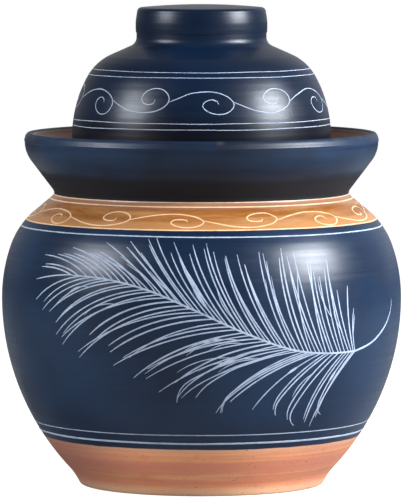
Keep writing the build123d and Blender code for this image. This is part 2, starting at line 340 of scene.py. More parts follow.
skin, tree, shader, place, height = new_material("slip_honey_glaze_and_bare_clay")
wander = grain(tree, place, 26, detail=3)
edge = maths(tree, "MULTIPLY_ADD", wander, 0.0016, maths(tree, "SUBTRACT", height, 0.0008))
slip = slip_colour(tree, place, SLIP_DEEP, SLIP_PALE, 2.0)

brush = grain(tree, place, 1, (5, 5, 330), detail=7, roughness=0.68, seed=6.0)
flush = grain(tree, place, 1, (7, 7, 120), detail=4, seed=1.0)
clay = blended(tree, between(tree, brush, 0.34, 0.68), CLAY_FLUSHED, CLAY)
clay = blended(tree, between(tree, flush, 0.52, 0.72, 0.0, 0.55), clay, CLAY_PALE)
patches = grain(tree, place, 55, (1, 1, 2.4), detail=6, roughness=0.66, seed=12.0)
clay = blended(tree, between(tree, patches, 0.50, 0.66, 0.0, 0.55), clay, CLAY_FLUSHED)
flushed_band = maths(
    tree,
    "MULTIPLY",
    between(tree, edge, 0.014, 0.018),
    between(tree, edge, 0.025, 0.020),
    clamp=True,
)
clay = blended(tree, maths(tree, "MULTIPLY", flushed_band, 0.8), clay, CLAY_FLUSHED)
under_slip = between(tree, edge, 0.0275, 0.0300, 0.0, 0.5)
clay = blended(tree, under_slip, clay, CLAY_PALE)
clay = blended(tree, between(tree, edge, 0.0062, 0.0030, 0.0, 0.85), clay, CLAY_PALE)
# Painted shade: the bare clay is darkened towards the left side of the foot, and a little towards
# the right side.
across = add(tree, "SeparateXYZ", {0: place})
painted_shade_left = between(tree, across, -0.028, -0.088, 0.0, 0.75)
painted_shade_right = between(tree, across, 0.036, 0.080, 0.0, 0.4)
painted_shade_sides = maths(tree, "ADD", painted_shade_left, painted_shade_right)
clay = blended(tree, painted_shade_sides, clay, CLAY_PAINTED_SHADE)
grit = grain(tree, place, 900, seed=3.0, detail=1)
clay = blended(tree, between(tree, grit, 0.70, 0.78), clay, CLAY_GRIT)

flow = grain(tree, place, 1, (20, 20, 240), detail=6, roughness=0.62, seed=8.0)
honey = blended(tree, between(tree, flow, 0.35, 0.72), HONEY, HONEY_THIN)
honey = blended(tree, between(tree, edge, 0.1735, 0.1675, 0.0, 0.85), honey, HONEY_THIN)
# Up into the waist cove the glaze runs thicker, and its colour there is lightened to a pale rose as
# a painted highlight.
honey = blended(tree, between(tree, edge, 0.1765, 0.1800, 0.0, 0.80), honey, HONEY_THICK_WITH_PAINTED_HIGHLIGHT)
honey = blended(tree, between(tree, grit, 0.72, 0.80), honey, HONEY_GRIT)

above_clay = between(tree, edge, SLIP_BOTTOM - 0.0002, SLIP_BOTTOM + 0.0002)
above_slip = between(tree, edge, SLIP_TOP - 0.0002, SLIP_TOP + 0.0002)
colour = blended(tree, above_slip, blended(tree, above_clay, clay, slip), honey)
tree.links.new(colour, shader.inputs["Base Color"])
rough, relief = burnish(tree, place, 2.0)
clay_rough = between(tree, brush, 0.3, 0.7, 0.62, 0.80)
rough = add(tree, "Mix", {0: above_clay, 2: clay_rough, 3: rough}, data_type="FLOAT")
rough = add(tree, "Mix", {0: above_slip, 2: rough, 3: 0.24}, data_type="FLOAT")
tree.links.new(rough, shader.inputs["Roughness"])
clay_relief = maths(tree, "ADD", maths(tree, "MULTIPLY", brush, 1.6), grit)
relief = add(tree, "Mix", {0: above_clay, 2: clay_relief, 3: relief}, data_type="FLOAT")
rough_skin(tree, shader, relief, SKIN_RELIEF, 0.8)
shader.inputs["Specular IOR Level"].default_value = SLIP_SHINE

bare_foot, tree, shader, place, height = new_material("bare_clay_under_the_foot")
sand = grain(tree, place, 180, detail=6, roughness=0.7)
colour = blended(tree, between(tree, sand, 0.3, 0.7), CLAY, CLAY_PALE)
tree.links.new(colour, shader.inputs["Base Color"])
shader.inputs["Roughness"].default_value = 0.85
rough_skin(tree, shader, sand, 0.0003)

BROWN = (0.105, 0.043, 0.028, 1)
BROWN_THIN = (0.28, 0.132, 0.088, 1)
BROWN_PAINTED_LIGHT = (0.60, 0.310, 0.230, 1)


def brown_glaze_coat(name, painted_light_share):
    """Brown glaze, cloudy and ringed by the dipping, made paler below the rims by some share as
    painted light.
    """
    material, tree, shader, place, height = new_material(name)
    clouds = grain(tree, place, 22, detail=5)
    rings = grain(tree, place, 1, (8, 8, 300), detail=4, seed=4.0)
    thick = maths(tree, "MULTIPLY_ADD", clouds, 0.6, maths(tree, "MULTIPLY", rings, 0.4))
    colour = blended(tree, between(tree, thick, 0.35, 0.65), BROWN, BROWN_THIN)
    # Painted light: the glaze is made paler in a band just below the rims.
    rising = between(tree, height, 0.200, 0.214, 0.0, painted_light_share)
    painted_light_near_rim = maths(tree, "MULTIPLY", rising, between(tree, height, 0.2235, 0.2215))
    colour = blended(tree, painted_light_near_rim, colour, BROWN_PAINTED_LIGHT)
    tree.links.new(colour, shader.inputs["Base Color"])
    tree.links.new(between(tree, clouds, 0.3, 0.7, 0.26, 0.44), shader.inputs["Roughness"])
    rough_skin(tree, shader, grain(tree, place, 150, detail=3), 0.00012)
    return material


brown_glaze = brown_glaze_coat("brown_glaze", 0.25)

vessel = turned(join(foot, outer_wall, moat_and_neck, inner_wall))
for face in vessel.faces:
    centre = face.calc_center_median()
    reach = math.hypot(centre.x, centre.y)
    faces_axis = face.normal.x * centre.x + face.normal.y * centre.y < -1e-6
    if centre.z < 0.0034 and reach < FOOT_RADIUS - 0.001:
        face.material_index = 1
    elif faces_axis or centre.z > waist_height - 0.0004 or (reach < 0.078 and centre.z > 0.01):
        face.material_index = 2
set_down(
    vessel,
    "vessel",
    "jar",
    (skin, bare_foot, brown_glaze),
    ("jar_body",),
)

# ======== Scratched lines on the vessel ========
# The drawing is scratched through the dry slip or glaze with a pointed tool, down to the pale clay.
# Each scratch is a shallow ribbon with slightly ragged sides that lies in the skin of the pot.
SCRATCH_LIFT = 0.00007
SCRATCH_DEPTH = 0.00025


def with_lengths(wall):
    """A wall and the distance of each of its points from its lower end."""
    runs = [0.0]
    for before, after in zip(wall, wall[1:]):
        runs.append(runs[-1] + math.dist(before, after))
    return wall, runs


def run_at(measured, height):
    """How far along a wall it passes a height."""
    wall, runs = measured
    i = min(len(wall) - 2, max(0, bisect.bisect([p[1] for p in wall], height) - 1))
    share = (height - wall[i][1]) / max(1e-9, wall[i + 1][1] - wall[i][1])
    return runs[i] + share * (runs[i + 1] - runs[i])


def on_wall(measured, angle, run):
    """Point and outward normal at an angle from the front and a distance along the wall."""
    wall, runs = measured
    i = min(len(wall) - 2, max(0, bisect.bisect(runs, run) - 1))
    share = (run - runs[i]) / (runs[i + 1] - runs[i])
    radius = wall[i][0] + share * (wall[i + 1][0] - wall[i][0])
    height = wall[i][1] + share * (wall[i + 1][1] - wall[i][1])
    low, high = wall[max(0, i - 2)], wall[min(len(wall) - 1, i + 3)]
    along = Vector((high[0] - low[0], high[1] - low[1])).normalized()
    out = Vector((math.sin(angle), -math.cos(angle), 0))
    return out * radius + Vector((0, 0, height)), out * along.y - Vector((0, 0, along.x))


def scratch(bm, measured, path, width, rng, tips=(0.35, 0.35), tip_share=0.12, ragged=0.12):
    """Lays a ribbon along a path of (angle, run) points, its middle a little proud of the wall."""
    steps = len(path) - 1
    ribbon = bmesh.ops.create_grid(bm, x_segments=steps, y_segments=2, size=1)["verts"]
    spots = [on_wall(measured, angle, run) for angle, run in path]
    halves = []
    for i in range(steps + 1):
        s = i / steps / tip_share
        opening = tips[0] + (1 - tips[0]) * s
        closing = tips[1] + (1 - tips[1]) * (1 / tip_share - s)
        halves.append(0.5 * width * min(1.0, opening, closing))
    wear = []
    for _ in range(2):
        steady = rng.uniform(-ragged, ragged)
        sides = []
        for _ in range(steps + 1):
            steady = 0.6 * steady + 0.6 * rng.uniform(-ragged, ragged)
            sides.append(1 + steady)
        wear.append(sides)
    for vert in ribbon:
        i = round((vert.co.x + 1) / 2 * steps)
        side = round(vert.co.y)
        spot, normal = spots[i]
        along = spots[min(steps, i + 1)][0] - spots[max(0, i - 1)][0]
        across = normal.cross(along).normalized()
        half = halves[i] * wear[side > 0][i]
        vert.co = spot + across * side * half + normal * SCRATCH_LIFT * (0.35 if side else 1.0)
    face = ribbon[0].link_faces[0]
    face.normal_update()
    if face.normal.dot(spots[0][1]) < 0:
        bmesh.ops.reverse_faces(bm, faces=list({f for vert in ribbon for f in vert.link_faces}))


def smooth_path(points, steps=6):
    """A rounded path through given points."""
    path = []
    ends = [points[0]] + list(points) + [points[-1]]
    for before, start, end, after in zip(ends, ends[1:], ends[2:], ends[3:]):
        for i in range(steps):
            t = i / steps
            point = []
            for a, b, c, d in zip(before, start, end, after):
                bend = (2 * a - 5 * b + 4 * c - d) * t**2 + (3 * b - a - 3 * c + d) * t**3
                point.append(0.5 * (2 * b + (c - a) * t + bend))
            path.append(tuple(point))
    path.append(tuple(points[-1]))
    return path


def ring_line(bm, measured, height, width, rng, wobble=0.0004, steps=280):
    """A line round the turning pot, with the hand's small wander and an overlap at the back."""
    waves = [(n, rng.uniform(0.3, 1.0) / n**0.5, rng.uniform(0, math.tau)) for n in (1, 2, 3, 5, 9)]
    base = run_at(measured, height)
    path = []
    for i in range(steps + 4):
        angle = math.pi + 0.2 + math.tau * i / steps
        drift = sum(share * math.sin(n * angle + phase) for n, share, phase in waves)
        path.append((angle, base + wobble * drift * 0.5 + 0.0004 * i / steps))
    scratch(bm, measured, path, width, rng, tip_share=0.01)


SCROLL_STEM = ((0, 0), (6, 2.6), (12.5, 5.2), (19, 6.7), (25.5, 7.0), (32, 5.8), (37.6, 3.2))
SCROLL_CURL = (
    (40.6, -0.6), (39.6, -4.4), (35.4, -7.6), (29.5, -8.0), (24.2, -5.8), (21.9, -2.4), (23.4, 0.4),
    (27.0, 1.6), (30.4, 0.8), (31.4, -1.6),
)


def running_scroll(bm, measured, height, count, turn, size, width, rng):
    """A wave of curls round the pot, each springing from the side of the last one."""
    base = run_at(measured, height)
    radius = Vector(on_wall(measured, 0, base)[0][:2]).length
    unit = math.tau / count
    shrink = unit * radius / 0.0408
    for i in range(count):
        flip = -1 if i % 2 else 1
        wide, tall = rng.uniform(0.85, 1.12), rng.uniform(0.86, 1.12)
        root = SCROLL_CURL[0]
        curl = [
            (root[0] + (x - root[0]) * wide, root[1] + (y - root[1]) * tall)
            for x, y in SCROLL_CURL
        ]
        points = [
            (
                turn + unit * i + x * 0.001 * shrink / radius,
                base + flip * (y + rng.uniform(-0.25, 0.25)) * 0.001 * size,
            )
            for x, y in SCROLL_STEM + tuple(curl)
        ]
        scratch(bm, measured, smooth_path(points, 4), width, rng, tips=(0.6, 0.35), tip_share=0.08)


LINE_ON_BLUE = (0.38, 0.43, 0.53, 1)
LINE_ON_BLUE_DIM = (0.24, 0.30, 0.40, 1)
LINE_ON_HONEY = (0.72, 0.48, 0.28, 1)
LINE_ON_HONEY_DIM = (0.60, 0.33, 0.15, 1)

pale_line, tree, shader, place, height = new_material("scratched_through_blue_slip")
dust = grain(tree, place, 160, detail=5, roughness=0.7)
colour = blended(tree, between(tree, dust, 0.3, 0.62), LINE_ON_BLUE_DIM, LINE_ON_BLUE)
tree.links.new(colour, shader.inputs["Base Color"])
shader.inputs["Roughness"].default_value = 0.75
rough_skin(tree, shader, dust, 0.0001)

honey_line, tree, shader, place, height = new_material("scratched_through_honey_glaze")
dust = grain(tree, place, 160, detail=5, roughness=0.7)
colour = blended(tree, between(tree, dust, 0.3, 0.62), LINE_ON_HONEY_DIM, LINE_ON_HONEY)
tree.links.new(colour, shader.inputs["Base Color"])
shader.inputs["Roughness"].default_value = 0.6
rough_skin(tree, shader, dust, 0.0001)

vessel_wall = with_lengths(outer_wall)
rng = random.Random(11)


def lay_in(bm, name, body, material):
    """Gives the ribbons their thickness, into the clay, and sets them down as one piece."""
    bmesh.ops.solidify(bm, geom=bm.faces, thickness=SCRATCH_DEPTH)
    set_down(bm, name, body, (material,))


# Height and width of each line.
BODY_LINES = ((0.1622, 0.00085), (0.0405, 0.0007), (0.0352, 0.0011))
SHOULDER_LINES = ((0.1662, 0.0009), (0.1792, 0.0010), (0.1818, 0.0006))
SHOULDER_SCROLL_HEIGHT = 0.1717
SHOULDER_SCROLL_COUNT = 14
SHOULDER_SCROLL_TURN = math.radians(-24.9)
SHOULDER_SCROLL_SIZE = 0.80
SHOULDER_SCROLL_WIDTH = 0.0009

bands = bmesh.new()
for height_at, width in BODY_LINES:
    ring_line(bands, vessel_wall, height_at, width, rng)
lay_in(bands, "body_band_lines", "jar", pale_line)

shoulder = bmesh.new()
for height_at, width in SHOULDER_LINES:
    ring_line(shoulder, vessel_wall, height_at, width, rng, 0.0002)
running_scroll(
    shoulder,
    vessel_wall,
    SHOULDER_SCROLL_HEIGHT,
    SHOULDER_SCROLL_COUNT,
    SHOULDER_SCROLL_TURN,
    SHOULDER_SCROLL_SIZE,
    SHOULDER_SCROLL_WIDTH,
    rng,
)
lay_in(shoulder, "shoulder_scroll", "jar", honey_line)

# ======== Feather on the vessel ========
# One long plume lies across the front of the belly. Its shaft is scratched first, from the tip at
# the left to the bare curled quill at the right, and then its barbs are pulled outward in quick
# strokes, a few of which fork or smear.
SHAFT = (
    (-41, 138), (-28, 136.5), (-15, 130.5), (-2, 119), (12, 105), (26, 94), (38, 90.3), (50, 90),
)
QUILL = ((50, 90), (58.5, 94.5), (65.5, 103), (69.3, 112), (70, 119))
BARB_STEPS = 18
UPPER_COUNT = 52
LOWER_COUNT = 45
SHAFT_WIDTH = 0.0011
QUILL_WIDTH = 0.0013
THINNEST_BARB = 0.00070
WIDEST_BARB = 0.00100
SMEAR_WIDTH = 0.0018
FORKED_SHARE = 0.18
SMEARED_SHARE = 0.12
UPPER_BARBS = (
    # place along the shaft, first heading, last heading, length
    (0.00, 158, 188, 0.020),
    (0.06, 140, 184, 0.029),
    (0.20, 132, 164, 0.038),
    (0.32, 128, 146, 0.044),
    (0.44, 132, 116, 0.052),
    (0.60, 127, 100, 0.062),
    (0.74, 122, 93, 0.067),
    (0.86, 115, 88, 0.064),
    (0.95, 112, 84, 0.056),
    (1.00, 106, 84, 0.034),
)
LOWER_BARBS = (
    (0.00, 186, 206, 0.022),
    (0.06, 188, 236, 0.034),
    (0.17, 187, 234, 0.046),
    (0.28, 184, 232, 0.066),
    (0.40, 182, 226, 0.075),
    (0.55, 184, 216, 0.077),
    (0.72, 187, 220, 0.076),
    (0.81, 196, 230, 0.067),
    (0.89, 222, 260, 0.052),
    (1.00, 238, 272, 0.049),
)


def keyed(table, at):
    """Values between the rows of a table, at a place along its first column."""
    for low, high in zip(table, table[1:]):
        if at <= high[0]:
            share = max(0.0, at - low[0]) / (high[0] - low[0])
            return [a + (b - a) * share for a, b in zip(low[1:], high[1:])]
    return list(table[-1][1:])


def point_on(path, share):
    """Point of a path at a share of its steps."""
    at = share * (len(path) - 1)
    i = min(len(path) - 2, int(at))
    return tuple(a + (b - a) * (at - i) for a, b in zip(path[i], path[i + 1]))


def stroke(start, first, last, length, hook=0.0, steps=BARB_STEPS):
    """Path of a pulled stroke that turns from one heading to another, as seen from the front."""
    angle, run = start
    path = [start]
    for i in range(steps):
        s = (i + 0.5) / steps
        heading = math.radians(first + (last - first) * s**1.15 + hook * max(0.0, s - 0.78) / 0.22)
        radius = Vector(on_wall(vessel_wall, 0, run)[0][:2]).length
        angle += length / steps * math.cos(heading) / (radius * max(0.35, math.cos(angle)))
        run += length / steps * math.sin(heading)
        path.append((angle, run))
    return path


def to_wall(points):
    """Given (degrees, millimetres) points as places on the vessel."""
    return [(math.radians(a), run_at(vessel_wall, z * 0.001)) for a, z in points]


shaft = smooth_path(to_wall(SHAFT), 8)
plume = bmesh.new()
scratch(plume, vessel_wall, shaft, SHAFT_WIDTH, rng, tips=(0.4, 1.0))
quill = smooth_path(to_wall(QUILL), 8)
scratch(plume, vessel_wall, quill, QUILL_WIDTH, rng, tips=(1.0, 0.25), tip_share=0.5)
for table, count, side in ((UPPER_BARBS, UPPER_COUNT, 1), (LOWER_BARBS, LOWER_COUNT, -1)):
    for i in range(count):
        at = min(1.0, max(0.0, (i + rng.uniform(-0.2, 0.2)) / (count - 1))) ** 0.76
        first, last, length = keyed(table, at)
        sway = rng.gauss(0, 1.4 + 2.4 * at)
        length *= rng.uniform(0.80, 1.08)
        hook = rng.uniform(10, 60) if side < 0 and at > 0.6 and rng.random() < 0.6 else 0.0
        start = point_on(shaft, at)
        path = stroke(start, first + sway * 0.6, last + sway * 1.3, length, hook)
        width = rng.uniform(THINNEST_BARB, WIDEST_BARB)
        scratch(plume, vessel_wall, path, width, rng, tips=(0.75, 0.4), tip_share=0.18)
        if rng.random() < FORKED_SHARE:
            fork = path[rng.randint(3, 8)]
            turned_off = first + sway + rng.choice((-1, 1)) * rng.uniform(7, 14)
            rest = stroke(fork, turned_off, last + sway, length * rng.uniform(0.25, 0.5))
            scratch(plume, vessel_wall, rest, width * 0.8, rng, tips=(0.6, 0.2), tip_share=0.3)
        if at > 0.45 and rng.random() < SMEARED_SHARE:
            smear = path[rng.randint(2, 5) : rng.randint(9, 14)]
            scratch(
                plume,
                vessel_wall,
                smear,
                SMEAR_WIDTH,
                rng,
                tips=(0.2, 0.2),
                tip_share=0.4,
                ragged=0.2,
            )
lay_in(plume, "feather_scratches", "jar", pale_line)

# ======== Moat flange ========
# The flared wall of the water moat, thrown as a ring and luted onto the ledge of the shoulder. It
# ends in a rounded lip with a soft outer edge. Blue slip covers it outside and brown glaze inside.
FLANGE_COVE = 0.004
FLARE_TURN = 37.0
FLARE_LENGTH = 0.0225
BRIM_ARC = 0.020
FLANGE_WALL = 0.0075
BEAD_RADIUS = 0.0029
BEAD_SET = (-0.0026, 0.0025)
BRIM_EDGE = 0.0009
BRIM_EDGE_SET = (-0.0006, 0.0008)
LIP_CORNER_SET = (0.0021, 0.0016)
FLANGE_FINGER_RINGS = 0.00004
FLANGE_PAINTED_SHADE = (0.0022, 0.0025, 0.0042, 1)
RIM_WORN = (0.06, 0.05, 0.05, 1)

cove_centre = (WAIST_RADIUS + FLANGE_COVE, waist_height)
flare_start = on_circle(cove_centre, FLANGE_COVE, 180 - FLARE_TURN)
flare_end = on_circle(flare_start, FLARE_LENGTH, 90 - FLARE_TURN)
brim_centre = on_circle(flare_end, -BRIM_ARC, -FLARE_TURN)
brim_end = (brim_centre[0] + BRIM_ARC, brim_centre[1])
bead_centre = (brim_end[0] + BEAD_SET[0], brim_end[1] + BEAD_SET[1])
flare_at_floor = flare_start[0] + (MOAT_FLOOR - flare_start[1]) * math.tan(math.radians(FLARE_TURN))
inner_foot = (flare_at_floor - FLANGE_WALL / math.cos(math.radians(FLARE_TURN)), MOAT_FLOOR)
inner_brim = (bead_centre[0] - BEAD_RADIUS, bead_centre[1])

edge_centre = (brim_end[0] + BRIM_EDGE_SET[0], brim_end[1] + BRIM_EDGE_SET[1])
lip_start = on_circle(edge_centre, BRIM_EDGE, 30)
lip_corner = (bead_centre[0] + LIP_CORNER_SET[0], bead_centre[1] + LIP_CORNER_SET[1])
lip_end = on_circle(bead_centre, BEAD_RADIUS, 75)
lip_face = join(line(lip_start, lip_corner, 0.0004), line(lip_corner, lip_end, 0.0004))

flange_outside = thrown(
    join(
        arc(cove_centre, FLANGE_COVE, 180, 180 - FLARE_TURN, 0.0005),
        line(flare_start, flare_end),
        arc(brim_centre, BRIM_ARC, -FLARE_TURN, 0, 0.0008),
        arc(edge_centre, BRIM_EDGE, -20, 30, 0.0002),
        softened(lip_face, lip_corner, 0.0016),
        arc(bead_centre, BEAD_RADIUS, 75, 180, 0.0005),
    ),
    FLANGE_FINGER_RINGS,
    8,
)
flange_inside = softened(
    join(
        line(inner_brim, inner_foot, 0.0015),
        line(inner_foot, (LEDGE_RADIUS, MOAT_FLOOR), 0.0006),
    ),
    inner_foot,
    0.003,
)
flange_seat = join(
    line((LEDGE_RADIUS, MOAT_FLOOR), (LEDGE_RADIUS, waist_height), 0.003),
    line((LEDGE_RADIUS, waist_height), (WAIST_RADIUS, waist_height), 0.003),
)

flange_slip, tree, shader, place, height = new_material("blue_slip_on_the_flange")
slip = slip_colour(tree, place, SLIP_DARK, SLIP_PALE, 5.0)
fade = grain(tree, place, 30, detail=2)
edge = maths(tree, "MULTIPLY_ADD", fade, 0.004, maths(tree, "SUBTRACT", height, 0.002))
# Painted shade: the slip darkens to near black on the lowest part of the flange, down towards the
# waist, and is rougher there.
painted_shade_low = between(tree, edge, 0.2000, 0.1930)
slip = blended(tree, maths(tree, "MULTIPLY", painted_shade_low, 0.9), slip, FLANGE_PAINTED_SHADE)
at_brim = between(tree, height, 0.2150, 0.2175)
rubbed = between(tree, grain(tree, place, 75), 0.56, 0.74)
rim_wear = maths(tree, "MULTIPLY", at_brim, rubbed)
slip = blended(tree, maths(tree, "MULTIPLY", rim_wear, 0.5), slip, RIM_WORN)
tree.links.new(slip, shader.inputs["Base Color"])
rough, relief = burnish(tree, place, 5.0)
lip = between(tree, height, 0.2135, 0.2148)
rough = maths(tree, "MULTIPLY", rough, maths(tree, "MULTIPLY_ADD", lip, 0.32, 1.0))
rough = maths(tree, "MULTIPLY_ADD", painted_shade_low, 0.4, rough)
tree.links.new(rough, shader.inputs["Roughness"])
rough_skin(tree, shader, relief, SKIN_RELIEF, 0.8)
shader.inputs["Specular IOR Level"].default_value = SLIP_SHINE

moat_glaze = brown_glaze_coat("brown_glaze_in_the_moat", 0.95)

flange = turned(join(flange_outside, flange_inside, flange_seat, flange_outside[:1]))
for face in flange.faces:
    centre = face.calc_center_median()
    reach = math.hypot(centre.x, centre.y)
    faces_axis = face.normal.x * centre.x + face.normal.y * centre.y < -1e-6
    if faces_axis and reach < inner_brim[0] + 0.0006:
        face.material_index = 1
set_down(
    flange, "moat_wall", "jar", (flange_slip, moat_glaze), ("moat_flange",)
)

# ======== Press weights ========
# Two half discs of coarse unglazed clay that keep the vegetables under the brine. They are cut from
# one thick slab, with a finger hole between the pair, and pass the mouth one at a time on edge.
WEIGHT_RADIUS = 0.068
WEIGHT_THICKNESS = 0.018
WEIGHT_BOTTOM = 0.0112
WEIGHT_CUT = 0.001
WEIGHT_NOTCH = 0.013
WEIGHT_CORNER = 0.004
WEIGHT_EDGE = 0.0025
RAW_DARK = (0.30, 0.145, 0.080, 1)
RAW_PALE = (0.52, 0.310, 0.190, 1)
RAW_RED = (0.42, 0.190, 0.110, 1)

raw_clay, tree, shader, place, height = new_material("coarse_raw_clay")
sand = grain(tree, place, 210, detail=7, roughness=0.72)
cloud = grain(tree, place, 24, detail=3, seed=2.0)
colour = blended(tree, between(tree, sand, 0.32, 0.68), RAW_DARK, RAW_PALE)
colour = blended(tree, between(tree, cloud, 0.45, 0.70, 0.0, 0.5), colour, RAW_RED)
tree.links.new(colour, shader.inputs["Base Color"])
shader.inputs["Roughness"].default_value = 0.88
rough_skin(tree, shader, sand, 0.0004)

notch_turn = math.degrees(math.acos(WEIGHT_CUT / WEIGHT_NOTCH))
outer_turn = math.degrees(math.acos(WEIGHT_CUT / WEIGHT_RADIUS))
cut_length = WEIGHT_RADIUS * math.sin(math.radians(outer_turn))
notch_length = WEIGHT_NOTCH * math.sin(math.radians(notch_turn))
half_disc = join(
    line((WEIGHT_CUT, notch_length), (WEIGHT_CUT, cut_length), 0.0005),
    arc((0, 0), WEIGHT_RADIUS, outer_turn, -outer_turn),
    line((WEIGHT_CUT, -cut_length), (WEIGHT_CUT, -notch_length), 0.0005),
    arc((0, 0), WEIGHT_NOTCH, -notch_turn, notch_turn, 0.0005),
)[:-1]
half_disc = half_disc[10:] + half_disc[:10]
half_disc = softened(half_disc, (WEIGHT_CUT, cut_length), WEIGHT_CORNER)
half_disc = softened(half_disc, (WEIGHT_CUT, -cut_length), WEIGHT_CORNER)
half_disc = softened(half_disc, (WEIGHT_CUT, -notch_length), WEIGHT_CORNER)
half_disc = softened(half_disc, (WEIGHT_CUT, notch_length), WEIGHT_CORNER)

for name, body, side in (("weight_right", "right_weight", 1), ("weight_left", "left_weight", -1)):
    weight = bmesh.new()
    outline = [weight.verts.new((side * x, y, WEIGHT_BOTTOM)) for x, y in half_disc]
    slab = bmesh.ops.contextual_create(weight, geom=outline)["faces"]
    risen = bmesh.ops.extrude_face_region(weight, geom=slab)["geom"]
    top = [part for part in risen if isinstance(part, bmesh.types.BMVert)]
    bmesh.ops.translate(weight, verts=top, vec=(0, 0, WEIGHT_THICKNESS))
    rims = [edge for edge in weight.edges if edge.verts[0].co.z == edge.verts[1].co.z]
    bmesh.ops.bevel(
        weight,
        geom=rims,
        offset=WEIGHT_EDGE,
        segments=4,
        profile=0.5,
        affect="EDGES",
        material=-1,
    )
    bmesh.ops.recalc_face_normals(weight, faces=weight.faces)
    set_down(weight, f"press_{name}", body, (raw_clay,), (name,))

# ======== Inner lid ========
# A thin thrown disc that lies on the rim of the mouth, with a ring under it that keeps it in the
# middle, and a small waisted knob for finger and thumb. Both are dipped in the brown glaze.
DISC_RADIUS = 0.0625
DISC_BOTTOM = 0.2242
DISC_TOP = 0.2302
RING_RADIUS = 0.055
RING_INSIDE = 0.049
RING_BOTTOM = 0.2162
DISC_TOP_EDGE = 0.0024
DISC_LOW_EDGE = 0.0015
RING_EDGE = 0.002
DISC_FINGER_RINGS = 0.00006
KNOB_FOOT_RADIUS = 0.0125
KNOB_STEM_RADIUS = 0.009
KNOB_HEAD_RADIUS = 0.0145
KNOB_TOP = 0.2482
KNOB_DISH = 0.002

top_edge = (DISC_RADIUS - DISC_TOP_EDGE, DISC_TOP - DISC_TOP_EDGE)
low_edge = (DISC_RADIUS - DISC_LOW_EDGE, DISC_BOTTOM + DISC_LOW_EDGE)
ring_edge_height = RING_BOTTOM + RING_EDGE
ring_outer_edge = (RING_RADIUS - RING_EDGE, ring_edge_height)
ring_inner_edge = (RING_INSIDE + RING_EDGE, ring_edge_height)
disc_profile = join(
    line((0, DISC_TOP), (DISC_RADIUS - DISC_TOP_EDGE, DISC_TOP), 0.003),
    arc(top_edge, DISC_TOP_EDGE, 90, 0, 0.0005),
    arc(low_edge, DISC_LOW_EDGE, 0, -90, 0.0005),
    line((DISC_RADIUS - DISC_LOW_EDGE, DISC_BOTTOM), (RING_RADIUS, DISC_BOTTOM), 0.002),
    line((RING_RADIUS, DISC_BOTTOM), (RING_RADIUS, ring_edge_height), 0.001),
    arc(ring_outer_edge, RING_EDGE, 0, -90, 0.0005),
    arc(ring_inner_edge, RING_EDGE, -90, -180, 0.0005),
    line((RING_INSIDE, ring_edge_height), (RING_INSIDE, DISC_BOTTOM), 0.001),
    line((RING_INSIDE, DISC_BOTTOM), (0, DISC_BOTTOM), 0.003),
)
set_down(
    turned(thrown(disc_profile, DISC_FINGER_RINGS, 41)),
    "inner_lid_disc",
    "inner_cover",
    (brown_glaze,),
    ("inner_lid",),
)

knob_points = [
    (KNOB_FOOT_RADIUS, DISC_TOP),
    (KNOB_FOOT_RADIUS - 0.0022, DISC_TOP + 0.0021),
    (KNOB_STEM_RADIUS, DISC_TOP + 0.0056),
    (KNOB_STEM_RADIUS + 0.0014, DISC_TOP + 0.0088),
    (KNOB_HEAD_RADIUS - 0.0008, DISC_TOP + 0.0118),
    (KNOB_HEAD_RADIUS, DISC_TOP + 0.0136),
    (KNOB_HEAD_RADIUS - 0.0010, KNOB_TOP - 0.0017),
    (KNOB_HEAD_RADIUS * 0.72, KNOB_TOP),
    (KNOB_HEAD_RADIUS * 0.36, KNOB_TOP - KNOB_DISH * 0.75),
    (0, KNOB_TOP - KNOB_DISH),
]
knob_profile = join(
    line((0, DISC_TOP), (KNOB_FOOT_RADIUS, DISC_TOP), 0.002), smooth_path(knob_points)
)
set_down(
    turned(knob_profile, 96),
    "inner_lid_grip",
    "inner_cover",
    (brown_glaze,),
    ("inner_lid_knob",),
)

# ======== Outer lid ========
# A thrown bowl turned over, whose rim stands in the water of the moat, with a hollow flat-topped
# grip luted onto its crown. Both are brushed with the same blue slip; the inside is glazed brown.
LID_RADIUS = 0.081
LID_WALL = 0.0055
LID_RIM = 0.1892
LID_STRAIGHT_TOP = 0.217
LID_SIDE_ARC = 0.080
LID_SIDE_TURN = 28.0
LID_CROWN_ARC = 0.032
LID_CROWN_TURN = 66.0
COLLAR_RADIUS = 0.0406
COLLAR_COVE = 0.006
GRIP_SEAT = 0.2826
GRIP_FOOT_RADIUS = 0.041
GRIP_RADIUS = 0.0415
GRIP_TOP_RADIUS = 0.0402
GRIP_SHOULDER = 0.2982
GRIP_EDGE = 0.0026
GRIP_SIDE = 0.013
GRIP_TAPER = 0.0008
LID_HEIGHT = 0.300
LID_FINGER_RINGS_INSIDE = 0.0002
LID_SHINE = 0.28
LID_PAINTED_SHADE = (0.0012, 0.0018, 0.0040, 1)
LID_LINES = ((0.2600, 0.00042), (0.2567, 0.00042), (0.2290, 0.00042), (0.2252, 0.00042))
LID_SCROLL_HEIGHT = 0.2424
LID_SCROLL_COUNT = 12
LID_SCROLL_TURN = math.radians(-15)
LID_SCROLL_SIZE = 1.0
LID_SCROLL_WIDTH = 0.00054

